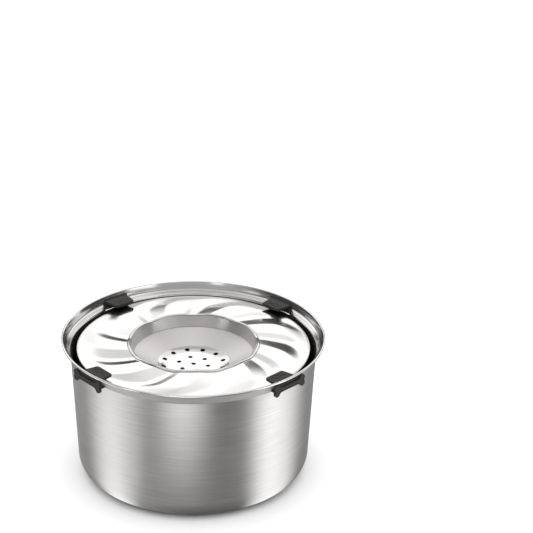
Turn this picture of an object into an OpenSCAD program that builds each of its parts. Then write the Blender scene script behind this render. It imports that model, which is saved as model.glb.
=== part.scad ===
// No-spill water bowl: a flared steel bowl with a rolled rim, a hollow
// fluted float with a strainer well, and silicone clips through the rim.
// Millimetres, +Z up, the bowl stands on z = 0, its front faces -Y.

/* [Bowl] */
// Diameter over the rolled rim
rim_d = 270; // [268:0.5:274]
// Height from the table to the top of the rim
bowl_h = 150; // [146:1:158]
// Thickness of the bowl's sheet
sheet_t = 0.8; // [0.6:0.1:0.9]
// Outer radius of the wall where the bottom corner ends
wall_foot_r = 120.2; // [119.8:0.1:121.5]
// Outer radius of the wall where the flare begins
wall_top_r = 126.2; // [125.8:0.1:126.6]
// Radius of the bottom corner
corner_r = 21.5; // [14:0.5:26]
// Height of the flare, from its foot to the top of the rim
flare_h = 12.4; // [12:0.1:13]
// Radius of the crease inside the flare
crease_r = 129.9; // [129.5:0.1:130.3]
// Depth of the crease below the top of the rim
crease_drop = 6.8; // [6.4:0.1:7.2]
// Outer radius of the curl at the rim
curl_r = 1.2; // [1:0.05:1.25]

/* [Float] */
// Radius over the float's rounded edge
float_r = 119.8; // [119:0.1:120]
// Depth of the float's outer edge below the top of the rim
float_drop = 11; // [10.8:0.1:11.6]
// Rise of the top from its outer edge to the well
crown_h = 2; // [1.6:0.1:2.4]
// Radius of the well at its upper edge
well_r = 65.2; // [63:0.1:66]
// Radius of the well at the foot of its wall
well_foot_r = 61; // [60:0.1:62]
// Depth of the foot of the well's wall below the float's outer edge
well_foot_drop = 9; // [8:0.1:10]
// Fall of a flute's steep side
flute_h = 2.7; // [2:0.1:3.4]
// Share of a flute's pitch that its steep side takes
fall_part = 0.45; // [0.36:0.01:0.48]
// Extra rise of a flute's short side
rise_h = 1.1; // [0.6:0.1:1.4]
// Share of a flute's pitch that its short side takes
rise_part = 0.24; // [0.18:0.01:0.3]
// Height of the rolled bead round the well
bead_h = 1.7; // [1.6:0.1:2.5]
// Number of spiral flutes
flute_n = 9; // [7:1:10]
// Angle of the middle of the first flute's steep side at the well
flute_turn = 2.1; // [0:0.1:40]
// Sweep of a flute from the well to the outer edge
flute_sweep = 25; // [10:1:34]
// Thickness of the float's sheet
float_t = 0.6; // [0.5:0.1:0.8]
// Depth of the float's underside below its outer edge
float_depth = 23; // [22.5:0.1:24]

/* [Strainer] */
// Radius of the flat part of the strainer's floor
floor_r = 24.5; // [22:0.5:28]
// Radius of the bend between floor and cone
bend_r = 34; // [26:1:38]
// Diameter of a drain hole
hole_d = 5; // [3.5:0.1:5.5]
// Radius of the inner ring of holes
hole_ring_a = 15.6; // [13:0.1:17]
// Radius of the outer ring of holes
hole_ring_b = 31.2; // [26:0.1:32]
// Angle of the first hole of the inner ring
hole_turn_a = 42.5; // [0:0.5:60]
// Angle of the first hole of the outer ring
hole_turn_b = 12.2; // [0:0.1:30]

/* [Clips] */
// Direction of the back right clip
clip_az_br = 43.8; // [40:0.1:50]
// Direction of the back left clip
clip_az_bl = 130.3; // [128:0.1:140]
// Direction of the front left clip
clip_az_fl = 219.1; // [216:0.1:230]
// Direction of the front right clip
clip_az_fr = 314.5; // [310:0.1:320]
// Width of a clip's tongue at its tip
tongue_w = 24.4; // [20:0.2:26]
// Width of a clip's tongue at the rim
tongue_root_w = 30.4; // [26:0.2:32]
// Thickness of a clip's tongue
tongue_t = 3.2; // [2.6:0.1:3.2]
// Radius that the tongue's tip reaches
tongue_tip_r = 112.3; // [111:0.1:114]
// Half length of the bone-shaped pull, to its lobes' centres
bone_half = 17.9; // [16:0.1:19]
// Radius of the pull's lobes
lobe_r = 3.5; // [3:0.1:3.5]
// Thickness of the pull
bone_t = 3; // [2.4:0.1:3.2]
// Width of the neck that fills the slot in the rim
neck_w = 35; // [32:0.2:36]
// Height of the neck
neck_h = 8.6; // [8:0.1:8.8]

/* [Hidden] */
$fn = 96;
steel = [0.78, 0.77, 0.75];
polished = [0.90, 0.90, 0.90];
satin = [0.74, 0.73, 0.72];
silicone = [0.10, 0.10, 0.09];

// bowl
rim_r = rim_d / 2;
corner_c = wall_foot_r - corner_r;
wall_top_z = bowl_h - flare_h;
wall_lean = atan((wall_top_r - wall_foot_r) / (wall_top_z - corner_r));
half_t = sheet_t / 2;
wall_a = [corner_c + (corner_r - half_t) * cos(wall_lean), corner_r - (corner_r - half_t) * sin(wall_lean)];
wall_b = [wall_top_r - half_t, wall_top_z];
crease = [crease_r + 0.8 * half_t, bowl_h - crease_drop - 0.6 * half_t];
curl_c = [rim_r - curl_r, bowl_h - curl_r];
curl_mid = curl_r - half_t;
curl_dx = curl_c[0] - crease[0];
curl_dz = curl_c[1] - crease[1];
curl_d = sqrt(curl_dx * curl_dx + curl_dz * curl_dz);
curl_dir = atan2(curl_dz, curl_dx) + asin(curl_mid / curl_d);
curl_len = sqrt(curl_d * curl_d - curl_mid * curl_mid);
curl_in = [crease[0] + curl_len * cos(curl_dir), crease[1] + curl_len * sin(curl_dir)];

// slots for the clips: wide below the crease, as wide as the tongue above it
tongue_top = bowl_h - 4;
neck_top = tongue_top + 0.2;
neck_low = neck_top - neck_h;
slot_top = neck_top + 0.4;
slot_low = neck_low - 0.4;
slot_step = bowl_h - crease_drop - 0.1;
slot_w = neck_w + 1.2;
slot_top_w = tongue_root_w + 1.2;

// clips: plan of the tongue, with a rounded tip
tip_c = 2.6;
tongue_root = rim_r - 3.5;
tongue_lean = atan((tongue_root_w - tongue_w) / 2 / (tongue_root - tongue_tip_r));
tip_x = tongue_tip_r + tip_c;
tip_y = tongue_w / 2 - tip_c;
side_x = tip_x - tip_c * sin(tongue_lean);
side_y = tip_y + tip_c * cos(tongue_lean);
root_y = side_y + (tongue_root - side_x) * tan(tongue_lean);
bone_z = bowl_h - 9.1;
bone_x = rim_r - bone_t + 0.4;
lobe_up = 2.8;

// float
edge_z = bowl_h - float_drop;
crown_r0 = float_r - 2.2;
crown_r1 = well_r + 3.2;
bead_mid = (well_r + crown_r1 - 0.5) / 2;
bead_half = (crown_r1 - 0.5 - well_r) / 2;
wall_top = crown_h + 0.9;
wall_slope = (well_r - well_foot_r) / (wall_top + well_foot_drop);
lip_a = 0.8;
fall_soft = 0.24;
rise_soft = 0.32;
rise_at = 0.48;

// one point of the float top's section, from the skirt over the crown into the well:
// radius, height over the outer edge, share of the flute's height
CROWN = 10;
function smooth(x) = let (c = max(0, min(1, x))) c * c * (3 - 2 * c);
function crown_z(r) = let (x = (crown_r0 - r) / (crown_r0 - crown_r1)) crown_h * (1.29 * x - 0.29 * x * x);
function crown_a(r) = smooth((crown_r0 - r) / 22) * (lip_a + (1 - lip_a) * smooth((r - well_r) / 16));
function well_at(z) = well_foot_r + (z + well_foot_drop) * wall_slope;
section = concat(
    [[float_r - 0.4, -8, 0], [float_r, -1.9, 0], [float_r - 0.35, -0.75, 0], [float_r - 1.1, -0.12, 0]],
    [for (i = [0:CROWN]) let (r = crown_r0 - (crown_r0 - crown_r1) * i / CROWN) [r, crown_z(r), crown_a(r)]],
    [[crown_r1 - 0.5, crown_h, lip_a]],
    [for (k = [30, 70, 110, 150]) [bead_mid + bead_half * cos(k), crown_h + bead_h * pow(sin(k), 0.8), lip_a]],
    [for (k = [1, 0.75, 0.5, 0.25, 0]) let (z = -well_foot_drop + (wall_top + well_foot_drop) * k)
        [well_at(z), z, lip_a * smooth(k)]]);
NS = len(section);
NA = 12 * flute_n;
function tangent(i) = let (a = section[max(0, i - 1)], b = section[min(NS - 1, i + 1)],
    d = [b[0] - a[0], b[1] - a[1]], l = sqrt(d[0] * d[0] + d[1] * d[1])) d / l;
function sweep(r) = let (x = max(0, min(1, (r - well_r) / (crown_r0 - well_r)))) flute_sweep * (0.56 * x + 0.44 * pow(x, 5));
// a flute's profile round the axis: a steep fall, a short rise, and a gentle rise all the
// way round to the next fall
pitch = 360 / flute_n;
gain = flute_h - rise_h;
flute_mean = gain / 2 - flute_h * (1 - fall_part / 2) + rise_h * (1 - rise_at - rise_part / 2);
function wrap(x) = x - floor(x);
// 0 to 1 with an even slope in the middle and soft ends of length e
function ease(t, e) = let (c = max(0, min(1, t)), k = 2 * e * (1 - e))
    c < e ? c * c / k : c > 1 - e ? 1 - (1 - c) * (1 - c) / k : (c - e / 2) / (1 - e);
function flute(r, q) = let (u = wrap((q - flute_turn + sweep(r)) / pitch + fall_part / 2))
    gain * u - flute_h * ease(u / fall_part, fall_soft) + rise_h * ease((u - rise_at) / rise_part, rise_soft) - flute_mean;
function skin(i, q, off) = let (s = section[i], t = tangent(i),
    r = s[0] - t[1] * off,
    z = edge_z + s[1] + t[0] * off + s[2] * flute(s[0], q))
    [r * cos(q), r * sin(q), z];

// strainer
cup_half = float_t / 2;
cup_mid_z = edge_z - float_depth + cup_half;
cup_top = [well_foot_r + 1.25, edge_z - well_foot_drop - 0.45];
cup_rise = cup_top[1] - cup_mid_z;
cup_run = cup_top[0] - floor_r;
// slope of the cone that is tangent to the bend and ends at cup_top
cup_far = sqrt(cup_run * cup_run + (bend_r - cup_rise) * (bend_r - cup_rise));
cup_ang = atan2(cup_run, bend_r - cup_rise) - acos(bend_r / cup_far);
cone_a = [floor_r + bend_r * sin(cup_ang), cup_mid_z + bend_r * (1 - cos(cup_ang))];

// pan under the float
pan_r = float_r - 1.4;
pan_low = edge_z - float_depth;
pan_corner = 7;
pan_lip_r = 44.5;

// straight strip of sheet with round ends, in the section plane
module strip(a, b, t) {
    d = [b[0] - a[0], b[1] - a[1]];
    l = sqrt(d[0] * d[0] + d[1] * d[1]);
    translate(a) rotate(atan2(d[1], d[0])) translate([0, -t / 2]) square([l, t]);
    translate(a) circle(d = t, $fn = 24);
    translate(b) circle(d = t, $fn = 24);
}

// arc of sheet between two directions, in the section plane
module arc_strip(c, r, t, a0, a1) {
    translate(c) intersection() {
        difference() {
            circle(r = r + t / 2);
            circle(r = r - t / 2);
        }
        polygon(concat([[0, 0]], [for (k = [0:6]) 3 * r * [cos(a0 + (a1 - a0) * k / 6), sin(a0 + (a1 - a0) * k / 6)]]));
    }
}

module bowl_section() {
    translate([0, 0]) square([corner_c, sheet_t]);
    arc_strip([corner_c, corner_r], corner_r - half_t, sheet_t, -90, -wall_lean);
    strip(wall_a, wall_b, sheet_t);
    strip(wall_b, crease, sheet_t);
    strip(crease, curl_in, sheet_t);
    arc_strip(curl_c, curl_mid, sheet_t, curl_dir + 90, curl_dir + 90 - 290);
}

module bowl_shell() {
    color(steel) difference() {
        rotate_extrude() bowl_section();
        for (q = [clip_az_br, clip_az_bl, clip_az_fl, clip_az_fr])
            rotate([0, 0, q]) translate([crease_r - 7, 0, 0]) {
                translate([0, -slot_w / 2, slot_low]) cube([16, slot_w, slot_step - slot_low]);
                translate([0, -slot_top_w / 2, slot_low]) cube([16, slot_top_w, slot_top - slot_low]);
            }
    }
}

module float_top() {
    color(polished) polyhedron(
        points = concat(
            [for (i = [0:NS - 1]) for (j = [0:NA - 1]) skin(i, j * 360 / NA, 0)],
            [for (i = [0:NS - 1]) for (j = [0:NA - 1]) skin(i, j * 360 / NA, float_t)]),
        faces = concat(
            [for (i = [0:NS - 2]) for (j = [0:NA - 1]) let (a = i * NA + j, b = i * NA + (j + 1) % NA) [a, b + NA, b]],
            [for (i = [0:NS - 2]) for (j = [0:NA - 1]) let (a = i * NA + j, b = i * NA + (j + 1) % NA) [a, a + NA, b + NA]],
            [for (i = [0:NS - 2]) for (j = [0:NA - 1]) let (a = (NS + i) * NA + j, b = (NS + i) * NA + (j + 1) % NA) [a, b, b + NA]],
            [for (i = [0:NS - 2]) for (j = [0:NA - 1]) let (a = (NS + i) * NA + j, b = (NS + i) * NA + (j + 1) % NA) [a, b + NA, a + NA]],
            [for (j = [0:NA - 1]) let (k = (j + 1) % NA) [j, k, NS * NA + k]],
            [for (j = [0:NA - 1]) let (k = (j + 1) % NA) [j, NS * NA + k, NS * NA + j]],
            [for (j = [0:NA - 1]) let (k = (j + 1) % NA, e = (NS - 1) * NA, f = (2 * NS - 1) * NA) [e + k, e + j, f + j]],
            [for (j = [0:NA - 1]) let (k = (j + 1) % NA, e = (NS - 1) * NA, f = (2 * NS - 1) * NA) [e + k, f + j, f + k]]));
}

module strainer_cup() {
    color(satin) difference() {
        rotate_extrude() {
            translate([0, cup_mid_z - cup_half]) square([floor_r, 2 * cup_half]);
            arc_strip([floor_r, cup_mid_z + bend_r], bend_r, 2 * cup_half, -90, -90 + cup_ang);
            strip(cone_a, cup_top, 2 * cup_half);
            strip(cup_top, [cup_top[0] + 3 * wall_slope, cup_top[1] + 3], 2 * cup_half);
        }
        translate([0, 0, cup_mid_z - 4]) {
            cylinder(d = hole_d, h = 8, $fn = 32);
            for (k = [0:5]) rotate([0, 0, hole_turn_a + 60 * k]) translate([hole_ring_a, 0, 0]) cylinder(d = hole_d, h = 8, $fn = 32);
            for (k = [0:11]) rotate([0, 0, hole_turn_b + 30 * k]) translate([hole_ring_b, 0, 0]) cylinder(d = hole_d, h = 8, $fn = 32);
        }
    }
}

module float_pan() {
    h = float_t / 2;
    color(steel) rotate_extrude() {
        strip([pan_r - h, edge_z - 5], [pan_r - h, edge_z - 9.5], float_t);
        strip([pan_r - h, edge_z - 9.5], [pan_r - 1.2 - h, pan_low + pan_corner], float_t);
        arc_strip([pan_r - 1.2 - pan_corner, pan_low + pan_corner], pan_corner - h, float_t, -90, 0);
        translate([pan_lip_r, pan_low]) square([pan_r - 1.2 - pan_corner - pan_lip_r, float_t]);
        strip([pan_lip_r + h, pan_low + h], [pan_lip_r + h, pan_low + 3.6], float_t);
    }
}

// outline of the bone-shaped pull: x along the rim, y up from its middle
module bone_outline() {
    square([2 * bone_half, 5], center = true);
    for (sx = [-1, 1]) for (sy = [-1, 1]) translate([sx * bone_half, sy * lobe_up]) circle(r = lobe_r, $fn = 48);
}

// plan of the tongue: x out from the axis, y along the rim
module tongue_outline() {
    polygon([[tongue_tip_r, -tip_y], [tip_x, -tip_y], [side_x, -side_y], [tongue_root, -root_y],
             [tongue_root, root_y], [side_x, side_y], [tip_x, tip_y], [tongue_tip_r, tip_y]]);
    for (s = [-1, 1]) translate([tip_x, s * tip_y]) circle(r = tip_c, $fn = 48);
}

module clip(q) {
    color(silicone) rotate([0, 0, q]) {
        // tongue inside the rim
        translate([0, 0, tongue_top - tongue_t]) linear_extrude(tongue_t) tongue_outline();
        // neck through the slot, its inner face in line with the flare
        translate([0, neck_w / 2, 0]) rotate([90, 0, 0]) linear_extrude(neck_w)
            polygon([[rim_r - 9.5, neck_low], [bone_x + 1.2, neck_low],
                     [bone_x + 1.2, slot_step - 0.4], [rim_r - 6.5, slot_step - 0.4]]);
        translate([0, tongue_root_w / 2, 0]) rotate([90, 0, 0]) linear_extrude(tongue_root_w)
            polygon([[rim_r - 6.6, slot_step - 1.2], [bone_x + 1.2, slot_step - 1.2],
                     [bone_x + 1.2, neck_top], [rim_r - 4.4, neck_top]]);
        // pull outside the rim
        translate([bone_x, 0, bone_z]) rotate([90, 0, 90]) linear_extrude(bone_t) bone_outline();
    }
}

module clip_back_right() { clip(clip_az_br); }
module clip_back_left() { clip(clip_az_bl); }
module clip_front_left() { clip(clip_az_fl); }
module clip_front_right() { clip(clip_az_fr); }

bowl_shell();
float_top();
strainer_cup();
float_pan();
clip_back_right();
clip_back_left();
clip_front_left();
clip_front_right();
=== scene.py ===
"""No-spill water bowl: a brushed steel bowl with a rolled rim, a polished floating
disc with a strainer well, and silicone clips through the rim. Lengths in the mesh
code are millimetres and are turned into metres when a mesh is made."""

import math

import bmesh
import bpy
import numpy as np
from mathutils import Matrix, Vector


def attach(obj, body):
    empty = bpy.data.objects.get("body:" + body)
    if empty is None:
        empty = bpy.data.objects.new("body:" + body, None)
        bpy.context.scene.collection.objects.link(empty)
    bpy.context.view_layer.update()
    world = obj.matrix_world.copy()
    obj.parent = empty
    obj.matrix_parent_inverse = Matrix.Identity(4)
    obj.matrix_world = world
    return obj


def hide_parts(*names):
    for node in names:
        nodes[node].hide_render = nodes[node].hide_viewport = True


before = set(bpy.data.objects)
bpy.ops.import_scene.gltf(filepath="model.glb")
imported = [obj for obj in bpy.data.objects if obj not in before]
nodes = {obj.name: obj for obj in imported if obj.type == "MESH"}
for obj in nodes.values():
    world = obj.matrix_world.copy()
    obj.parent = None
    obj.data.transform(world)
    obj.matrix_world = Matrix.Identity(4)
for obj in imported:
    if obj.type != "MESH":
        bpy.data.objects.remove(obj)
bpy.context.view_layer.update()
scene = bpy.context.scene

MM = 0.001
RAD = math.pi / 180.0


# ---------------------------------------------------------------- mesh helpers
def make_object(name, verts, faces, mats, face_mats=None, sharp=35.0):
    """A closed mesh object from millimetre points, smooth with sharp creases."""
    me = bpy.data.meshes.new(name)
    me.from_pydata([(v[0] * MM, v[1] * MM, v[2] * MM) for v in verts], [], faces)
    for m in mats:
        me.materials.append(m)
    if face_mats is not None:
        me.polygons.foreach_set("material_index", face_mats)
    bm = bmesh.new()
    bm.from_mesh(me)
    bmesh.ops.recalc_face_normals(bm, faces=bm.faces)
    bm.to_mesh(me)
    bm.free()
    finish_shading(me, sharp)
    ob = bpy.data.objects.new(name, me)
    scene.collection.objects.link(ob)
    return ob


def finish_shading(me, sharp):
    me.polygons.foreach_set("use_smooth", [True] * len(me.polygons))
    me.set_sharp_from_angle(angle=sharp * RAD)
    me.update()


def arc_points(c, r, a0, a1, n, first=False):
    """Points on an arc, degrees, with or without its first point."""
    ks = range(0 if first else 1, n + 1)
    return [(c[0] + r * math.cos((a0 + (a1 - a0) * k / n) * RAD),
             c[1] + r * math.sin((a0 + (a1 - a0) * k / n) * RAD)) for k in ks]


def line_points(a, b, n, first=False):
    ks = range(0 if first else 1, n + 1)
    return [(a[0] + (b[0] - a[0]) * k / n, a[1] + (b[1] - a[1]) * k / n) for k in ks]


def round_corner(a, b, c, r, n):
    """Points of the fillet of radius r at corner b of the line a-b-c."""
    a, b, c = np.array(a), np.array(b), np.array(c)
    u = (a - b) / np.linalg.norm(a - b)
    v = (c - b) / np.linalg.norm(c - b)
    half = math.acos(max(-1, min(1, float(u @ v)))) / 2
    cut = r / math.tan(half)
    m = (u + v) / np.linalg.norm(u + v)
    o = b + m * (r / math.sin(half))
    p, q = b + u * cut, b + v * cut
    t0 = math.atan2(*(p - o)[::-1])
    t1 = math.atan2(*(q - o)[::-1])
    d = (t1 - t0 + math.pi) % (2 * math.pi) - math.pi
    return [(o[0] + r * math.cos(t0 + d * k / n), o[1] + r * math.sin(t0 + d * k / n)) for k in range(n + 1)]


def section_normals(path):
    """Unit normals on the right-hand side of a section path."""
    p = np.array(path)
    d = np.diff(p, axis=0)
    l = np.linalg.norm(d, axis=1, keepdims=True)
    d = d / l
    t = np.vstack([d[:1], (d[:-1] * l[1:] + d[1:] * l[:-1]) / (l[:-1] + l[1:]), d[-1:]])
    t /= np.linalg.norm(t, axis=1, keepdims=True)
    return np.column_stack([t[:, 1], -t[:, 0]])


def revolve_sheet(path, thick, angles, windows):
    """A sheet of even thickness turned about Z. The path starts on the axis.
    A window (i0, i1, j0, j1) leaves rows i0..i1 and columns j0..j1 open, with its
    edges closed through the thickness. Returns points, faces and each face's row and
    side, "o" outside, "i" inside or "e" for a cut edge."""
    p = np.array(path)
    nrm = section_normals(path)
    nrm[0] = (0.0, -1.0)
    outer = p + nrm * thick / 2
    inner = p - nrm * thick / 2
    na, ns = len(angles), len(path)
    cs = [(math.cos(a * RAD), math.sin(a * RAD)) for a in angles]
    verts, index = [], {}
    for side, pts in (("o", outer), ("i", inner)):
        for i in range(ns):
            if i == 0:
                index[side, 0] = [len(verts)] * na
                verts.append((0.0, 0.0, pts[0][1]))
                continue
            index[side, i] = list(range(len(verts), len(verts) + na))
            verts += [(pts[i][0] * c, pts[i][0] * s, pts[i][1]) for c, s in cs]
    faces, rows = [], []

    def is_open(i, j):
        return any(i0 <= i < i1 and j0 <= j < j1 for i0, i1, j0, j1 in windows)

    for i in range(ns - 1):
        for j in range(na):
            k = (j + 1) % na
            if is_open(i, j):
                continue
            for side in "oi":
                a, b = index[side, i], index[side, i + 1]
                faces.append((a[0], b[j], b[k]) if i == 0 else (a[j], b[j], b[k], a[k]))
                rows.append((i, side))
    for j in range(na):
        k = (j + 1) % na
        faces.append((index["o", ns - 1][j], index["i", ns - 1][j], index["i", ns - 1][k], index["o", ns - 1][k]))
        rows.append((ns - 2, "e"))
    for i in range(1, ns - 1):
        for j in range(na):
            if not is_open(i, j):
                continue
            k = (j + 1) % na
            for di, dj, p, q in ((-1, 0, (i, j), (i, k)), (1, 0, (i + 1, k), (i + 1, j)),
                                 (0, -1, (i + 1, j), (i, j)), (0, 1, (i, k), (i + 1, k))):
                if not is_open(i + di, (j + dj) % na):
                    faces.append((index["o", p[0]][p[1]], index["o", q[0]][q[1]], index["i", q[0]][q[1]], index["i", p[0]][p[1]]))
                    rows.append((i, "e"))
    return verts, faces, rows


# ---------------------------------------------------------------- material helpers
class Mat:
    """A node material around one Principled shader."""

    def __init__(self, name, color, rough, metal=0.0, aniso=0.0, aniso_rot=0.0):
        self.m = bpy.data.materials.new(name)
        self.m.use_nodes = True
        self.m.diffuse_color = (*color, 1.0)
        self.t = self.m.node_tree
        self.t.nodes.clear()
        self.out = self.n("ShaderNodeOutputMaterial")
        self.p = self.n("ShaderNodeBsdfPrincipled")
        self.t.links.new(self.p.outputs[0], self.out.inputs[0])
        self.p.inputs["Base Color"].default_value = (*color, 1.0)
        self.p.inputs["Roughness"].default_value = rough
        self.p.inputs["Metallic"].default_value = metal
        self.p.inputs["Anisotropic"].default_value = aniso
        self.p.inputs["Anisotropic Rotation"].default_value = aniso_rot
        self.coord = self.n("ShaderNodeTexCoord").outputs["Object"]

    def n(self, kind, **props):
        node = self.t.nodes.new(kind)
        for k, v in props.items():
            setattr(node, k, v)
        return node

    def link(self, a, b):
        self.t.links.new(a, b)

    def math(self, op, a, b=None, c=None, clamp=False):
        node = self.n("ShaderNodeMath", operation=op, use_clamp=clamp)
        for k, v in enumerate((a, b, c)):
            if v is None:
                continue
            if isinstance(v, (int, float)):
                node.inputs[k].default_value = v
            else:
                self.link(v, node.inputs[k])
        return node.outputs[0]

    def noise(self, vec, scale=1.0, detail=3.0, rough=0.55):
        node = self.n("ShaderNodeTexNoise")
        node.inputs["Scale"].default_value = scale
        node.inputs["Detail"].default_value = detail
        node.inputs["Roughness"].default_value = rough
        self.link(vec, node.inputs["Vector"])
        return node.outputs["Fac"]

    def remap(self, v, a, b, c, d, smooth=False):
        node = self.n("ShaderNodeMapRange", interpolation_type="SMOOTHSTEP" if smooth else "LINEAR")
        self.link(v, node.inputs["Value"])
        for k, x in zip(("From Min", "From Max", "To Min", "To Max"), (a, b, c, d)):
            node.inputs[k].default_value = x
        return node.outputs["Result"]

    def polar(self):
        """x, y, z, radius of the object's own coordinates, metres."""
        s = self.n("ShaderNodeSeparateXYZ")
        self.link(self.coord, s.inputs[0])
        x, y, z = s.outputs
        r = self.math("SQRT", self.math("ADD", self.math("MULTIPLY", x, x), self.math("MULTIPLY", y, y)))
        return x, y, z, r

    def vec(self, x, y, z):
        c = self.n("ShaderNodeCombineXYZ")
        for k, v in enumerate((x, y, z)):
            self.link(v, c.inputs[k])
        return c.outputs[0]

    def brush_vector(self, length, width):
        """Coordinates in which a noise runs round the axis: streaks of that length
        and width in metres, on walls and on flats alike."""
        x, y, z, r = self.polar()
        return self.vec(self.math("MULTIPLY", x, 1 / length), self.math("MULTIPLY", y, 1 / length),
                        self.math("MULTIPLY", self.math("ADD", self.math("MULTIPLY", r, 0.83), z), 1 / width))

    def tint(self, color, fac_socket, lo, hi):
        """Base colour scaled between lo and hi by a 0..1 value."""
        ramp = self.n("ShaderNodeMix", data_type="RGBA")
        ramp.inputs["A"].default_value = (*[c * lo for c in color], 1.0)
        ramp.inputs["B"].default_value = (*[min(1.0, c * hi) for c in color], 1.0)
        self.link(fac_socket, ramp.inputs["Factor"])
        self.link(ramp.outputs["Result"], self.p.inputs["Base Color"])

    def bump(self, height, strength, distance):
        b = self.n("ShaderNodeBump")
        b.inputs["Strength"].default_value = strength
        b.inputs["Distance"].default_value = distance
        self.link(height, b.inputs["Height"])
        self.link(b.outputs["Normal"], self.p.inputs["Normal"])

    def radial_tangent(self):
        tan = self.n("ShaderNodeTangent", direction_type="RADIAL", axis="Z")
        self.link(tan.outputs[0], self.p.inputs["Tangent"])


def brushed_steel(name, color, rough, aniso, contrast, bump, metal=1.0):
    """Steel brushed round the axis: fine streaks in colour, gloss and height."""
    m = Mat(name, color, rough, metal, aniso, 0.25)
    broad = m.noise(m.brush_vector(0.045, 0.0014), detail=2.0)
    fine = m.noise(m.brush_vector(0.018, 0.00035), detail=3.0, rough=0.6)
    smear = m.noise(m.coord, scale=14.0, detail=3.0)
    streak = m.math("ADD", m.math("MULTIPLY", broad, 0.55), m.math("MULTIPLY", fine, 0.45))
    m.tint(color, m.remap(streak, 0.3, 0.7, 0.0, 1.0), 1.0 - contrast, 1.0 + contrast)
    gloss = m.math("ADD", m.math("MULTIPLY", streak, 0.7), m.math("MULTIPLY", smear, 0.3))
    m.link(m.remap(gloss, 0.3, 0.7, rough * 0.85, rough * 1.15), m.p.inputs["Roughness"])
    m.bump(streak, bump, 0.00008)
    m.radial_tangent()
    return m.m


def polished_steel(name, color, rough):
    """Bright polished sheet: faint haze, hairlines and a soft waviness."""
    m = Mat(name, color, rough, 1.0)
    haze = m.noise(m.coord, scale=9.0, detail=4.0)
    hair = m.noise(m.brush_vector(0.030, 0.0005), detail=2.0)
    m.tint(color, m.remap(haze, 0.3, 0.7, 0.0, 1.0), 0.97, 1.02)
    g = m.math("ADD", m.math("MULTIPLY", haze, 0.6), m.math("MULTIPLY", hair, 0.4))
    m.link(m.remap(g, 0.3, 0.7, rough * 0.7, rough * 1.35), m.p.inputs["Roughness"])
    m.bump(m.noise(m.coord, scale=60.0, detail=2.0), 0.05, 0.0004)
    return m.m


def spun_flare(name, color, rough, rings):
    """Bright sheet turned on a lathe: fine hairlines round the axis and a few deeper
    dark lines painted round it, painted shade in the crease and painted dark reflection lines below it, given as
    (height, half width, depth) in metres and 0..1."""
    m = Mat(name, color, rough, 1.0)
    x, y, z, r = m.polar()
    hair = m.noise(m.brush_vector(0.060, 0.00045), detail=2.0)
    haze = m.noise(m.coord, scale=9.0, detail=3.0)
    shade = m.remap(hair, 0.3, 0.7, 0.0, 1.0)
    # each of these paints a dark line round the flare: painted shade at the crease and painted dark reflection lines
    # below it
    for height, half, depth in rings:
        line = m.remap(m.math("ABSOLUTE", m.math("SUBTRACT", z, height)), half * 0.5, half * 1.5, 1.0, 0.0, True)
        shade = m.math("SUBTRACT", shade, m.math("MULTIPLY", line, depth * 10.0))
    shade = m.remap(shade, -10.0, 1.0, 0.0, 1.0)
    m.tint(color, shade, 0.0, 1.03)
    m.link(m.remap(haze, 0.3, 0.7, rough * 0.85, rough * 1.2), m.p.inputs["Roughness"])
    m.bump(hair, 0.06, 0.00003)
    m.radial_tangent()
    return m.m


def satin_steel(name, color, rough, floor_z, bend_z):
    """Finely blasted sheet with a matte grain, a smoother bend below bend_z and a pale
    frosted floor below floor_z."""
    m = Mat(name, color, rough, 1.0)
    grain = m.noise(m.coord, scale=2600.0, detail=2.0)
    cloud = m.noise(m.coord, scale=22.0, detail=3.0)
    turn = m.noise(m.brush_vector(0.030, 0.0008), detail=2.0)
    f = m.math("ADD", m.math("MULTIPLY", grain, 0.4),
               m.math("ADD", m.math("MULTIPLY", cloud, 0.3), m.math("MULTIPLY", turn, 0.3)))
    x, y, z, r = m.polar()
    cone = m.remap(z, bend_z - 0.0002, bend_z + 0.0002, 0.0, 1.0, True)
    flat = m.remap(z, floor_z - 0.00003, floor_z + 0.00005, 1.0, 0.0, True)
    m.link(m.remap(flat, 0.0, 1.0, 1.0, 0.3), m.p.inputs["Metallic"])
    level = m.math("ADD", m.remap(f, 0.3, 0.7, 0.78, 0.88), m.math("MULTIPLY", m.math("SUBTRACT", 1.0, cone), 0.12))
    # the walls of the holes are painted near black: painted shade inside the holes
    cut = m.n("ShaderNodeSeparateXYZ")
    m.link(m.n("ShaderNodeNewGeometry").outputs["Normal"], cut.inputs[0])
    level = m.math("MULTIPLY", level, m.remap(m.math("ABSOLUTE", cut.outputs[2]), 0.3, 0.6, 0.0, 1.0, True))
    m.tint(color, level, 0.10, 1.16)
    gloss = m.math("MULTIPLY", m.remap(f, 0.3, 0.7, rough * 0.9, rough * 1.1), m.math("ADD", m.remap(cone, 0.0, 1.0, 0.24, 1.0), m.math("MULTIPLY", flat, 0.5)))
    m.link(gloss, m.p.inputs["Roughness"])
    m.bump(grain, 0.12, 0.00006)
    return m.m


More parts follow.
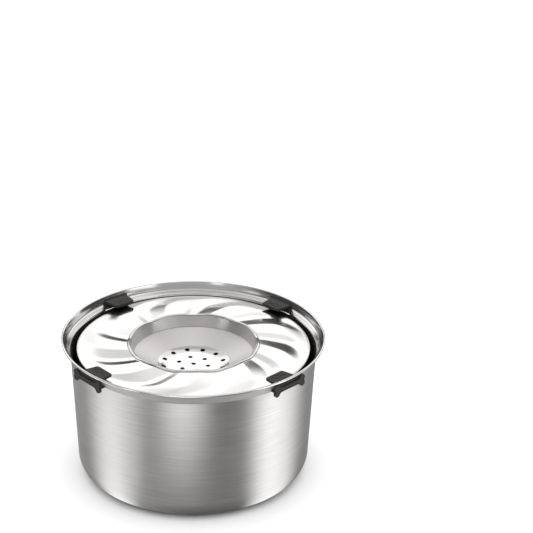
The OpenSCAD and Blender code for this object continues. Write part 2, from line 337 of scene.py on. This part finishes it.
def silicone(name, color):
    """Matte moulded silicone: fine grain, dust-dulled patches, a painted highlight on
    raised edges and painted shade in hollows."""
    m = Mat(name, color, 0.5)
    grain = m.noise(m.coord, scale=1500.0, detail=3.0)
    patch = m.noise(m.coord, scale=320.0, detail=3.0)
    geo = m.n("ShaderNodeNewGeometry")
    # paler where the mesh is convex, darker where it is hollow: painted edge highlight and painted shade
    edge = m.remap(geo.outputs["Pointiness"], 0.44, 0.58, 0.0, 1.0)
    f = m.math("ADD", m.math("MULTIPLY", grain, 0.35), m.math("MULTIPLY", patch, 0.65))
    f = m.math("ADD", m.remap(f, 0.3, 0.7, 0.0, 0.7), m.math("MULTIPLY", edge, 0.3), clamp=True)
    m.tint(color, f, 0.55, 1.5)
    m.link(m.remap(patch, 0.3, 0.7, 0.44, 0.58), m.p.inputs["Roughness"])
    m.bump(m.math("ADD", m.math("MULTIPLY", grain, 0.4), patch), 0.4, 0.0003)
    m.p.inputs["Specular IOR Level"].default_value = 0.3
    return m.m


CUP_Z = min((nodes["strainer_cup"].matrix_world @ v.co).z for v in nodes["strainer_cup"].data.vertices)
STEEL = brushed_steel("bowl_brushed", (0.80, 0.79, 0.78), 0.42, 0.85, 0.11, 0.25)
INSIDE = polished_steel("bowl_inside", (0.52, 0.515, 0.505), 0.26)
# the flare's dark lines: painted shade in the crease at 143.0 mm and painted dark reflection lines at 140.8, 139.8 and
# 138.3 mm
FLARE = spun_flare("flare_bright", (0.90, 0.895, 0.885), 0.16,
                   ((0.14302, 0.00032, 0.72), (0.1408, 0.00022, 0.40), (0.1398, 0.00016, 0.30), (0.1383, 0.0002, 0.35)))
# darker, part-matte copy of the brushed steel for the flare's outside and the roll's underside: painted shade under the
# roll
FLARE_OUT_SHADE = brushed_steel("flare_outside_painted_shade", (0.42, 0.414, 0.408), 0.42, 0.3, 0.06, 0.10, 0.45)
RIM = polished_steel("rim_bright", (0.92, 0.915, 0.905), 0.12)
POLISHED = polished_steel("disc_polished", (0.94, 0.935, 0.925), 0.13)
WELL = brushed_steel("well_brushed", (0.66, 0.652, 0.642), 0.36, 0.8, 0.08, 0.12)
# dark steel painted in the groove round the crown and on the lip of the well: painted shade
GROOVE_SHADE = brushed_steel("groove_painted_shade", (0.26, 0.256, 0.25), 0.34, 0.6, 0.06, 0.10)
SATIN = satin_steel("strainer_satin", (0.82, 0.806, 0.796), 0.44, CUP_Z + 0.00068, CUP_Z + 0.0030)
PAN = brushed_steel("pan_drawn", (0.50, 0.495, 0.49), 0.36, 0.5, 0.04, 0.08)
SILICONE = silicone("clip_silicone", (0.0205, 0.0194, 0.018))

# ---------------------------------------------------------------- bowl
CLIPS = {"back_right": 43.8, "back_left": 130.3, "front_left": 219.1, "front_right": 314.5}
SHEET = 0.8
LEAN = math.degrees(math.atan((126.2 - 120.2) / (137.6 - 21.5)))
CORNER = (98.7, 21.5)
WALL_A = (CORNER[0] + 21.1 * math.cos(LEAN * RAD), CORNER[1] - 21.1 * math.sin(LEAN * RAD))
WALL_B = (125.8, 137.6)
CREASE = (129.9 + 0.8 * 0.4, 150 - 6.8 - 0.6 * 0.4)
CURL_C, CURL_MID = (133.8, 148.8), 0.8
cdx, cdz = CURL_C[0] - CREASE[0], CURL_C[1] - CREASE[1]
CURL_D = math.hypot(cdx, cdz)
CURL_DIR = math.degrees(math.atan2(cdz, cdx) + math.asin(CURL_MID / CURL_D))
CURL_LEN = math.sqrt(CURL_D ** 2 - CURL_MID ** 2)
CURL_IN = (CREASE[0] + CURL_LEN * math.cos(CURL_DIR * RAD), CREASE[1] + CURL_LEN * math.sin(CURL_DIR * RAD))
SLOT_LOW, SLOT_STEP, SLOT_TOP, SLOT_W, SLOT_TOP_W = 137.2, 143.1, 146.6, 36.2, 31.6


def at_height(a, b, z):
    k = (z - a[1]) / (b[1] - a[1])
    return (a[0] + (b[0] - a[0]) * k, z)


def build_bowl():
    ledge = (CREASE[0] - 0.4, CREASE[1] - 0.5)
    bend = round_corner(WALL_A, WALL_B, ledge, 4.6, 12)
    top = at_height(CREASE, CURL_IN, SLOT_TOP)
    path = [(0.0, 0.4)] + [(r, 0.4) for r in (6, 14, 24, 36, 48, 60, 72, 84, 92, 98.7)]
    path += arc_points(CORNER, 21.1, -90, -LEAN, 20)
    path += line_points(WALL_A, bend[0], 16)[:-1]
    bend_row = len(path) + 3
    i0 = len(path) + min(range(len(bend)), key=lambda k: abs(bend[k][1] - SLOT_LOW))
    path += bend
    path += line_points(bend[-1], ledge, 5)[:-1]
    path += round_corner(bend[-1], ledge, (CREASE[0] + 0.35, CREASE[1] + 0.1), 0.5, 2)
    path += round_corner(ledge, (CREASE[0] + 0.35, CREASE[1] + 0.1), CURL_IN, 0.4, 2)
    ic = min(range(len(path)), key=lambda k: abs(path[k][1] - SLOT_STEP))
    path += line_points(path[-1], top, 3)
    i1 = len(path) - 1
    path += line_points(top, CURL_IN, 3)
    curl_row = len(path) - 2
    path += arc_points(CURL_C, CURL_MID, CURL_DIR + 90, CURL_DIR + 90 - 290, 40)
    outer_row = curl_row + 1 + round((CURL_DIR + 90 + 20) / 290 * 40)
    windows, edges = [], []
    for r0, r1, width in ((i0, ic, SLOT_W), (ic, i1, SLOT_TOP_W)):
        half = math.degrees(math.asin(width / 2 / 131.0))
        for a in CLIPS.values():
            edges += [a - half, a + half]
            windows.append((r0, r1, a - half, a + half))
    even = [k * 360 / 432 for k in range(432)]
    even = [a for a in even if all(abs(a - e) > 0.35 for e in edges)]
    angles = sorted(even + edges)
    windows = [(r0, r1, angles.index(a), angles.index(b)) for r0, r1, a, b in windows]
    verts, faces, rows = revolve_sheet(path, SHEET, angles, windows)
    # outside faces from the bend up, and the underside of the roll, take the darker steel: painted shade under the roll
    mats = [(4 if i >= outer_row else 3) if i >= curl_row else (4 if side == "o" else 2) if i >= bend_row else 1 if side == "i" else 0
            for i, side in rows]
    ob = make_object("bowl", verts, faces, [STEEL, INSIDE, FLARE, RIM, FLARE_OUT_SHADE], mats, sharp=40)
    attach(ob, "bowl")
    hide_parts("bowl_shell")
    return ob


# ---------------------------------------------------------------- floating disc
FLOAT_R, EDGE_Z, CROWN_H = 119.8, 139.0, 2.0
WELL_R, WELL_FOOT_R, WELL_DROP = 65.2, 61.0, 9.0
FLUTE_N, FLUTE_TURN, FLUTE_SWEEP, FLOAT_T = 9, 2.1, 25.0, 0.6
FALL_H, FALL, FALL_SOFT = 2.7, 0.45, 0.24
RISE_H, RISE, RISE_SOFT, RISE_AT = 1.1, 0.24, 0.32, 0.48
LIP_A, BEAD_H = 0.8, 1.7
CROWN_R0 = FLOAT_R - 2.2
CROWN_R1 = WELL_R + 3.2
WALL_SLOPE = (WELL_R - WELL_FOOT_R) / (CROWN_H + 0.9 + WELL_DROP)


def smooth(x):
    c = max(0.0, min(1.0, x))
    return c * c * (3 - 2 * c)


def well_at(z):
    return WELL_FOOT_R + (z + WELL_DROP) * WALL_SLOPE


def sweep(r):
    x = max(0.0, min(1.0, (r - WELL_R) / (CROWN_R0 - WELL_R)))
    return FLUTE_SWEEP * (0.56 * x + 0.44 * x ** 5)


def ease(t, e):
    """0 to 1 with an even slope in the middle and soft ends of length e."""
    t = np.clip(t, 0, 1)
    c = 2 * e * (1 - e)
    return np.where(t < e, t * t / c, np.where(t > 1 - e, 1 - (1 - t) ** 2 / c, (t - e / 2) / (1 - e)))


def flute(r, q):
    """A flute's height in mm round the axis: a steep fall, a short rise, and a gentle
    rise all the way round to the next fall."""
    u = ((q - FLUTE_TURN + sweep(r)) * FLUTE_N / 360 + FALL / 2) % 1.0
    gain = FALL_H - RISE_H
    mean = gain / 2 - FALL_H * (1 - FALL / 2) + RISE_H * (1 - RISE_AT - RISE / 2)
    return gain * u - FALL_H * ease(u / FALL, FALL_SOFT) + RISE_H * ease((u - RISE_AT) / RISE, RISE_SOFT) - mean


def crown_z(r):
    """Height of the top's mean surface, steeper towards the outer edge."""
    x = (CROWN_R0 - r) / (CROWN_R0 - CROWN_R1)
    return CROWN_H * (1.29 * x - 0.29 * x * x)


def disc_section():
    """Rows over the skirt, the crown and into the well: radius, height, flute share."""
    rows = [(FLOAT_R - 0.4, -8.0, 0.0), (FLOAT_R - 0.2, -5.0, 0.0)]
    rows += [(CROWN_R0 + 2.2 * math.cos(k * RAD), -1.9 + 1.9 * math.sin(k * RAD), 0.0) for k in (0, 15, 30, 45, 60, 75)]
    n = 56
    for k in range(n + 1):
        r = CROWN_R0 - (CROWN_R0 - CROWN_R1) * k / n
        share = smooth((CROWN_R0 - r) / 22) * (LIP_A + (1 - LIP_A) * smooth((r - WELL_R) / 16))
        rows.append((r, crown_z(r), share))
    # groove and rolled bead round the well, then its wall
    groove_row = len(rows) - 1
    rows.append((CROWN_R1 - 0.5, CROWN_H, LIP_A))
    mid, half = (WELL_R + CROWN_R1 - 0.5) / 2, (CROWN_R1 - 0.5 - WELL_R) / 2
    rows += [(mid + half * math.cos(k * RAD), CROWN_H + BEAD_H * math.sin(k * RAD) ** 0.8, LIP_A)
             for k in (8, 16, 28, 40, 54, 68, 82, 96, 110, 124, 138, 152, 164)]
    rows.append((WELL_R - 0.1, CROWN_H + 0.9, LIP_A))
    lip_rows = len(rows)
    rows.append((WELL_R + 0.25, CROWN_H + 0.65, LIP_A))
    n = 18
    top = CROWN_H + 0.2
    for k in range(n + 1):
        z = top + (-WELL_DROP - top) * k / n
        rows.append((well_at(z), z, LIP_A * smooth(1 - k / n)))
    return rows, groove_row, lip_rows


def build_disc():
    rows, groove_row, lip_rows = disc_section()
    nrm = section_normals([(r, z) for r, z, a in rows])
    na = 720
    qs = np.arange(na) * 360.0 / na
    verts, faces, mats = [], [], []
    for off in (0.0, FLOAT_T):
        for (r, z, a), (nx, nz) in zip(rows, nrm):
            f = flute(r, qs)
            # the section runs inwards over the top, so its right-hand side is outside
            rr = r - nx * off
            zz = EDGE_Z + z - nz * off + a * f
            verts += list(zip(rr * np.cos(qs * RAD), rr * np.sin(qs * RAD), zz))
    ns = len(rows)
    for s in (0, 1):
        for i in range(ns - 1):
            for j in range(na):
                k = (j + 1) % na
                a, b = (s * ns + i) * na, (s * ns + i + 1) * na
                faces.append((a + j, b + j, b + k, a + k))
                # the groove row and the two lip rows take the dark steel: painted shade in the groove and at the lip
                mats.append(2 if s else 3 if i in (groove_row, lip_rows - 1, lip_rows) else 0 if i < lip_rows else 1)
    for i in (0, ns - 1):
        for j in range(na):
            k = (j + 1) % na
            a, b = i * na, (ns + i) * na
            faces.append((a + j, a + k, b + k, b + j))
            mats.append(0)
    ob = make_object("float_disc", verts, faces, [POLISHED, WELL, PAN, GROOVE_SHADE], mats, sharp=50)
    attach(ob, "float")
    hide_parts("float_top")
    return ob


# ---------------------------------------------------------------- clips
TONGUE_TOP, TONGUE_T, TIP_R, TIP_C = 146.0, 3.2, 112.3, 2.6
TIP_HALF, ROOT_HALF, ROOT_X = 12.2, 15.2, 131.5
NECKS = ((17.5, [(125.5, 137.3), (133.6, 137.3), (133.6, 142.75), (128.4, 142.75)]),
         (15.6, [(128.4, 142.2), (133.6, 142.2), (133.6, 146.4), (130.6, 146.4)]))
BONE_X, BONE_T, BONE_Z, BONE_HALF, BONE_H, LOBE_UP, LOBE_R = 132.4, 3.0, 140.9, 17.9, 2.5, 2.8, 3.5


def inset(outline, d):
    """A closed outline moved inwards by d along its normals, anticlockwise points."""
    p = np.array(outline)
    e = np.roll(p, -1, axis=0) - np.roll(p, 1, axis=0)
    e /= np.linalg.norm(e, axis=1, keepdims=True)
    return p + np.column_stack([-e[:, 1], e[:, 0]]) * d


def loft(rings):
    """A closed bmesh through rings of points, capped at both ends."""
    bm = bmesh.new()
    vs = [[bm.verts.new((x * MM, y * MM, z * MM)) for x, y, z in ring] for ring in rings]
    n = len(rings[0])
    for a, b in zip(vs, vs[1:]):
        for j in range(n):
            k = (j + 1) % n
            bm.faces.new((a[j], a[k], b[k], b[j]))
    bm.faces.new(list(reversed(vs[0])))
    bm.faces.new(vs[-1])
    bmesh.ops.recalc_face_normals(bm, faces=bm.faces)
    return bm


def bone_outline():
    """The pull's outline, anticlockwise: x along the rim, y up."""
    h, rf, rn, up = BONE_H, 4.0, 1.0, LOBE_UP
    xf = BONE_HALF - math.sqrt((LOBE_R + rf) ** 2 - (h + rf - up) ** 2)
    xn = BONE_HALF + math.sqrt((LOBE_R + rn) ** 2 - up ** 2)
    a_in = math.degrees(math.atan2(h + rf - up, xf - BONE_HALF))
    a_out = math.degrees(math.atan2(-up, xn - BONE_HALF))
    quarter = arc_points((xn, 0.0), rn, 180.0, 180.0 + a_out, 4, True)
    quarter += arc_points((BONE_HALF, up), LOBE_R, a_out, a_in, 22)
    quarter += arc_points((xf, h + rf), rf, a_in - 180.0, -90.0, 8)
    quarter += [(x, h) for x in (xf * 0.66, xf * 0.33)] + [(0.0, h)]
    left = [(-x, y) for x, y in reversed(quarter[:-1])]
    top = quarter + left
    return top + [(-x, -y) for x, y in top[1:-1]]


def tongue_outline():
    """Plan of the tongue, anticlockwise: x out from the axis, y along the rim."""
    lean = math.degrees(math.atan((ROOT_HALF - TIP_HALF) / (ROOT_X - TIP_R)))
    cx, cy = TIP_R + TIP_C, TIP_HALF - TIP_C
    tip = arc_points((cx, cy), TIP_C, 90 + lean, 180, 8, True)
    tip += [(TIP_R, y) for y in (cy * 0.5, 0.0, -cy * 0.5)]
    tip += arc_points((cx, -cy), TIP_C, 180, 270 - lean, 8, True)
    sx, sy = tip[0]
    side = [(x, sy + (x - sx) * math.tan(lean * RAD)) for x in (118.0, 122.0, 126.0, 129.0, ROOT_X)]
    return tip + [(x, -y) for x, y in side] + list(reversed(side))


def wavy_rib(x, half, width, swing, pitch):
    """Plan of a wavy mark that runs along the rim, anticlockwise."""
    ys = np.linspace(-half, half, 33)
    mid = x + swing * np.sin(ys * 2 * math.pi / pitch)
    slim = width / 2 * np.sqrt(np.clip(1 - (np.abs(ys) / half) ** 6, 0.15, 1))
    return list(zip(mid + slim, ys)) + list(zip((mid - slim)[::-1], ys[::-1]))


def rounded_edge(r, n=4):
    """(inset, depth) steps of a rounded edge, from the side to the face."""
    return [(r * (1 - math.cos(k * 90 / n * RAD)), r * (1 - math.sin(k * 90 / n * RAD))) for k in range(n + 1)]


def as_temp(bm, name):
    me = bpy.data.meshes.new(name)
    bm.to_mesh(me)
    bm.free()
    ob = bpy.data.objects.new(name, me)
    scene.collection.objects.link(ob)
    return ob


def combine(base, other, op):
    """Applies an exact boolean of other on base and removes other."""
    mod = base.modifiers.new("cut", "BOOLEAN")
    mod.operation, mod.solver, mod.object = op, "EXACT", other
    dep = bpy.context.evaluated_depsgraph_get()
    me = bpy.data.meshes.new_from_object(base.evaluated_get(dep))
    base.modifiers.clear()
    old = base.data
    base.data = me
    bpy.data.meshes.remove(old)
    omesh = other.data
    bpy.data.objects.remove(other)
    bpy.data.meshes.remove(omesh)


def build_clip(name, az):
    # tongue with rounded edges
    out = tongue_outline()
    rings = []
    edge = rounded_edge(0.9)
    z0, z1 = TONGUE_TOP - TONGUE_T, TONGUE_TOP - 0.15
    for ins, dep in reversed(edge):
        rings.append([(x, y, z0 + dep) for x, y in inset(out, ins)])
    for ins, dep in edge:
        rings.append([(x, y, z1 - dep) for x, y in inset(out, ins)])
    tongue = as_temp(loft(rings), "tongue_" + name)
    # neck that fills the slot, its inner face in line with the flare
    for half, corners in NECKS:
        block = []
        for k in range(4):
            block += round_corner(corners[k - 1], corners[k], corners[(k + 1) % 4], 0.5, 4)
        rings = []
        for ins, dep in reversed(rounded_edge(0.4)):
            rings.append([(x, dep - half, z) for x, z in inset(block, ins)])
        for ins, dep in rounded_edge(0.4):
            rings.append([(x, half - dep, z) for x, z in inset(block, ins)])
        combine(tongue, as_temp(loft(rings), "neck_" + name), "UNION")
    # pull with a raised rounded border round a sunk face
    bone = bone_outline()
    rings = []
    for ins, dep in reversed(rounded_edge(0.7)):
        rings.append([(BONE_X + dep, x, BONE_Z + y) for x, y in inset(bone, ins)])
    for ins, dep in rounded_edge(0.6):
        rings.append([(BONE_X + BONE_T - dep, x, BONE_Z + y) for x, y in inset(bone, ins)])
    for ins, dep in ((0.85, 0.0), (1.0, 0.07), (1.12, 0.3), (1.24, 0.5), (1.4, 0.55)):
        rings.append([(BONE_X + BONE_T - dep, x, BONE_Z + y) for x, y in inset(bone, ins)])
    pull = as_temp(loft(rings), "pull_" + name)
    combine(tongue, pull, "UNION")
    # two sunk wavy grip marks across the tongue
    for x, half, turn in ((116.6, 8.6, 1), (120.6, 9.6, -1)):
        mark = [(px, py * turn) for px, py in wavy_rib(x, half, 1.1, 0.9, 9.6)]
        cut = as_temp(loft([[(px, py, z) for px, py in (mark if turn > 0 else reversed(mark))] for z in (z1 - 0.5, z1 + 0.5)]), "mark_" + name)
        combine(tongue, cut, "DIFFERENCE")
    me = tongue.data
    tongue.name = "clip_" + name + "_moulded"
    me.name = tongue.name
    bm = bmesh.new()
    bm.from_mesh(me)
    bmesh.ops.remove_doubles(bm, verts=bm.verts, dist=1e-6)
    bmesh.ops.dissolve_degenerate(bm, edges=bm.edges, dist=1e-7)
    bmesh.ops.rotate(bm, verts=bm.verts, cent=(0, 0, 0), matrix=Matrix.Rotation(az * RAD, 3, "Z"))
    bmesh.ops.recalc_face_normals(bm, faces=bm.faces)
    bm.to_mesh(me)
    bm.free()
    me.materials.clear()
    me.materials.append(SILICONE)
    me.polygons.foreach_set("material_index", [0] * len(me.polygons))
    finish_shading(me, 32)
    mod = tongue.modifiers.new("even_shading", "WEIGHTED_NORMAL")
    mod.keep_sharp = True
    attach(tongue, "clip_" + name + "_body")
    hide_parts("clip_" + name)
    return tongue


build_bowl()
build_disc()
for clip_name, clip_az in CLIPS.items():
    build_clip(clip_name, clip_az)

for node_name, mat in (("strainer_cup", SATIN), ("float_pan", PAN)):
    ob = nodes[node_name]
    ob.data.materials.clear()
    ob.data.materials.append(mat)

# ---------------------------------------------------------------- floor
def build_floor():
    me = bpy.data.meshes.new("floor")
    s = 6.0
    z = -0.0001
    me.from_pydata([(-s, -s, z), (s, -s, z), (s, s, z), (-s, s, z)], [], [(0, 1, 2, 3)])
    ob = bpy.data.objects.new("floor", me)
    scene.collection.objects.link(ob)
    m = Mat("floor_pale", (0.9, 0.9, 0.9), 0.9)
    m.tint((0.9, 0.9, 0.9), m.noise(m.coord, scale=3.0), 0.995, 1.005)
    m.p.inputs["Specular IOR Level"].default_value = 0.0
    me.materials.append(m.m)
    ob.visible_glossy = False


build_floor()

# ---------------------------------------------------------------- light
def build_world():
    w = bpy.data.worlds.new("studio")
    scene.world = w
    w.use_nodes = True
    t = w.node_tree
    t.nodes.clear()

    def n(kind, **props):
        node = t.nodes.new(kind)
        for k, v in props.items():
            setattr(node, k, v)
        return node

    def fn(op, *args):
        node = n("ShaderNodeMath", operation=op)
        for k, v in enumerate(args):
            if isinstance(v, (int, float)):
                node.inputs[k].default_value = v
            else:
                t.links.new(v, node.inputs[k])
        return node.outputs[0]

    def ramp(v, a, b, c, d):
        node = n("ShaderNodeMapRange", interpolation_type="SMOOTHSTEP")
        for k, x in zip(("Value", "From Min", "From Max", "To Min", "To Max"), (v, a, b, c, d)):
            if isinstance(x, (int, float)):
                node.inputs[k].default_value = x
            else:
                t.links.new(x, node.inputs[k])
        return node.outputs["Result"]

    sep = n("ShaderNodeSeparateXYZ")
    t.links.new(n("ShaderNodeTexCoord").outputs["Generated"], sep.inputs[0])
    dx, dy, dz = sep.outputs
    el = fn("MULTIPLY", fn("ARCSINE", dz), 1 / RAD)
    az = fn("MULTIPLY", fn("ARCTAN2", dx, fn("MULTIPLY", dy, -1.0)), 1 / RAD)

    # white ceiling over a dark horizon. Its lower edge is at 14 degrees straight behind
    # the bowl, higher over a dark post on either side of that, low again beyond, high at
    # the sides and highest in front, where the room is grey. The ceiling is brightest
    # low down and dimmer overhead.
    side = fn("ABSOLUTE", az)
    post = ramp(dx, -0.03, 0.03, 3.5, ramp(side, 164.0, 169.0, 6.0, 10.5))
    edge = fn("ADD", ramp(side, 20.0, 75.0, 39.0, 24.0), fn("ADD", ramp(side, 95.0, 122.0, 0.0, -17.0), fn("MULTIPLY", ramp(side, 149.0, 155.0, 0.0, 1.0), fn("ADD", ramp(dx, -0.10, -0.05, 10.5, 9.3), ramp(dx, -0.02, 0.02, 0.0, -2.3)))))
    edge = fn("ADD", edge, fn("MULTIPLY", post, fn("MULTIPLY", ramp(side, 149.0, 155.0, 0.0, 1.0), ramp(side, 171.0, 177.0, 1.0, 0.0))))
    # and a dark wall on the left of the camera
    edge = fn("ADD", edge, fn("MULTIPLY", ramp(az, -92.0, -80.0, 0.0, 8.0), ramp(az, -34.0, -24.0, 1.0, 0.0)))
    soft = fn("ADD", ramp(side, 20.0, 75.0, 6.0, 3.4), fn("MULTIPLY", ramp(side, 115.0, 125.0, 0.0, -1.0), ramp(side, 150.0, 160.0, 1.0, 0.0)))
    grey = fn("MULTIPLY", ramp(side, 30.0, 80.0, 1.0, 0.0), ramp(el, -20.0, 25.0, 0.14, 0.34))
    dark = fn("ADD", 0.035, grey)
    # the left of the room is open and softer
    open_left = fn("MULTIPLY", ramp(az, 112.0, 124.0, 0.0, 1.0), ramp(az, 146.0, 152.0, 1.0, 0.0))
    edge = fn("SUBTRACT", edge, fn("MULTIPLY", open_left, 17.0))
    ceiling = ramp(fn("DIVIDE", fn("SUBTRACT", el, edge), soft), -1.0, 1.0, 0.0, 1.0)
    low = fn("MULTIPLY", ramp(side, 90.0, 140.0, 0.66, 1.15), fn("SUBTRACT", 1.0, fn("MULTIPLY", open_left, 0.2)))
    high = fn("ADD", fn("ADD", ramp(el, 48.0, 53.0, ramp(dx, -0.05, 0.05, 0.66, 0.86), 0.45), ramp(el, 58.0, 64.0, 0.0, ramp(side, 70.0, 110.0, 0.63, 0.0))), ramp(el, 66.0, 74.0, 0.0, ramp(side, 70.0, 110.0, 0.0, 0.40)))
    bright = fn("ADD", fn("MULTIPLY", low, ramp(el, 31.0, 40.0, 1.0, 0.0)), fn("MULTIPLY", high, ramp(el, 31.0, 40.0, 0.0, 1.0)))
    glossy = fn("ADD", fn("MULTIPLY", dark, fn("SUBTRACT", 1.0, ceiling)), fn("MULTIPLY", bright, ceiling))
    # lights beside the camera: a low upright strip on either side and a panel above each
    def panel(centre, half, fade, el0, el1, el2, el3, value):
        across = ramp(fn("ABSOLUTE", fn("SUBTRACT", az, centre)), half, half + fade, value, 0.0)
        return fn("MULTIPLY", across, fn("MULTIPLY", ramp(el, el0, el1, 0.0, 1.0), ramp(el, el2, el3, 1.0, 0.0)))

    for light in (panel(66.0, 10.0, 7.0, -10.0, -2.0, 6.0, 12.0, 3.8), panel(-53.0, 4.0, 5.0, -10.0, -2.0, 6.0, 12.0, 4.4),
                  panel(48.0, 11.0, 6.0, 16.0, 20.0, 32.0, 40.0, 1.15), panel(-22.0, 3.5, 5.0, 20.0, 24.0, 30.0, 36.0, 1.1)):
        glossy = fn("MAXIMUM", glossy, light)

    path = n("ShaderNodeLightPath")
    # matte surfaces are lit mostly from above, the open background is plain white
    even = n("ShaderNodeBackground")
    even.inputs["Color"].default_value = (1, 1, 1, 1)
    t.links.new(fn("ADD", fn("MULTIPLY", path.outputs["Is Camera Ray"], 1.2), fn("MULTIPLY", fn("SUBTRACT", 1.0, path.outputs["Is Camera Ray"]), ramp(el, 5.0, 50.0, 0.5, 2.0))),
                even.inputs["Strength"])
    box = n("ShaderNodeBackground")
    box.inputs["Color"].default_value = (1.0, 0.992, 0.98, 1)
    t.links.new(fn("MULTIPLY", glossy, ramp(path.outputs["Diffuse Depth"], 0.2, 0.8, 1.0, 0.35)), box.inputs["Strength"])
    mix = n("ShaderNodeMixShader")
    t.links.new(path.outputs["Is Glossy Ray"], mix.inputs[0])
    t.links.new(even.outputs[0], mix.inputs[1])
    t.links.new(box.outputs[0], mix.inputs[2])
    out = n("ShaderNodeOutputWorld")
    t.links.new(mix.outputs[0], out.inputs[0])


build_world()


def build_card():
    """A lit card on the floor that only glossy surfaces see: soft white strips that
    run out from the bowl and lie in its brushed wall as upright bands of light."""
    me = bpy.data.meshes.new("light_card")
    n, r = 96, 2.6
    me.from_pydata([(0, 0, -0.001)] + [(r * math.cos(2 * math.pi * k / n), r * math.sin(2 * math.pi * k / n), -0.001) for k in range(n)],
                   [], [(0, 1 + k, 1 + (k + 1) % n) for k in range(n)])
    ob = bpy.data.objects.new("light_card", me)
    scene.collection.objects.link(ob)
    m = Mat("light_card", (1, 1, 1), 1.0)
    m.t.nodes.remove(m.p)
    fn = m.math
    x, y, z, r = m.polar()
    bearing = fn("ARCTAN2", x, fn("MULTIPLY", y, -1.0))
    # bearing of the wall point that mirrors this place towards the front
    ratio = fn("MINIMUM", fn("DIVIDE", 0.123, r), 1.0)
    wall = fn("DIVIDE", bearing, fn("SUBTRACT", 2.0, ratio))
    for k in range(4):
        wall = fn("MULTIPLY", fn("ADD", bearing, fn("ARCSINE", fn("MULTIPLY", ratio, fn("SINE", wall)))), 0.5)
    s = fn("MULTIPLY", fn("SINE", wall), 0.123)
    run = fn("SUBTRACT", fn("SQRT", fn("MAXIMUM", fn("SUBTRACT", fn("MULTIPLY", r, r), fn("MULTIPLY", s, s)), 0.0)),
             fn("MULTIPLY", fn("COSINE", wall), 0.123))
    deg = fn("MULTIPLY", wall, 1 / RAD)

    def lobe(centre, half, soft, value):
        return m.remap(fn("ABSOLUTE", fn("SUBTRACT", deg, centre)), half - soft, half + soft, value, 0.0, True)

    e = fn("ADD", lobe(-43.6, 9.8, 8.0, 1.08), lobe(44.7, 12.0, 8.5, 1.27))
    far = fn("ADD", m.remap(run, 0.12, 0.34, 0.0, 0.5, True), m.remap(run, 0.24, 0.46, 0.0, 3.1, True))
    e = fn("ADD", e, fn("MULTIPLY", lobe(-4.5, 8.5, 8.0, 1.0), far))
    e = fn("ADD", e, fn("ADD", lobe(-55.0, 42.0, 14.0, 0.13), m.remap(run, 0.02, 0.22, 0.085, 0.12, True)))
    e = fn("ADD", e, fn("ADD", lobe(120.0, 18.0, 12.0, 0.6), lobe(-125.0, 18.0, 12.0, 0.6)))
    e = fn("MULTIPLY", e, m.remap(r, 0.095, 0.106, 0.3, 1.0, True))
    glow = m.n("ShaderNodeEmission")
    glow.inputs["Color"].default_value = (1.0, 0.992, 0.98, 1)
    once = m.remap(m.n("ShaderNodeLightPath").outputs["Diffuse Depth"], 0.2, 0.8, 1.0, 0.0)
    m.link(fn("MULTIPLY", e, once), glow.inputs["Strength"])
    m.link(glow.outputs[0], m.out.inputs[0])
    me.materials.append(m.m)
    ob.visible_camera = False
    ob.visible_diffuse = False
    ob.visible_transmission = False
    ob.visible_volume_scatter = False
    ob.visible_shadow = False


build_card()

# ---------------------------------------------------------------- camera
def build_camera():
    dist, elev = 1.900, 27.994
    focal_px, image_px = 1818.4, 533.0
    yaw, pitch, roll = 2.506 * RAD, 23.797 * RAD, 1.072 * RAD
    place = Vector((0, -dist * math.cos(elev * RAD), 0.075 + dist * math.sin(elev * RAD)))
    fw = Vector((math.sin(yaw) * math.cos(pitch), math.cos(yaw) * math.cos(pitch), -math.sin(pitch)))
    rt = Vector((math.cos(yaw), -math.sin(yaw), 0))
    up = rt.cross(fw)
    right = math.cos(roll) * rt + math.sin(roll) * up
    upward = -math.sin(roll) * rt + math.cos(roll) * up
    cam = bpy.data.cameras.new("camera")
    cam.sensor_fit = "HORIZONTAL"
    cam.sensor_width = 36.0
    cam.lens = 36.0 * focal_px / image_px
    cam.clip_end = 50.0
    ob = bpy.data.objects.new("camera", cam)
    rot = Matrix((right, upward, -fw)).transposed()
    ob.matrix_world = Matrix.Translation(place) @ rot.to_4x4()
    scene.collection.objects.link(ob)
    scene.camera = ob


build_camera()
scene.view_settings.view_transform = "Standard"
scene.view_settings.look = "None"

bpy.context.view_layer.update()
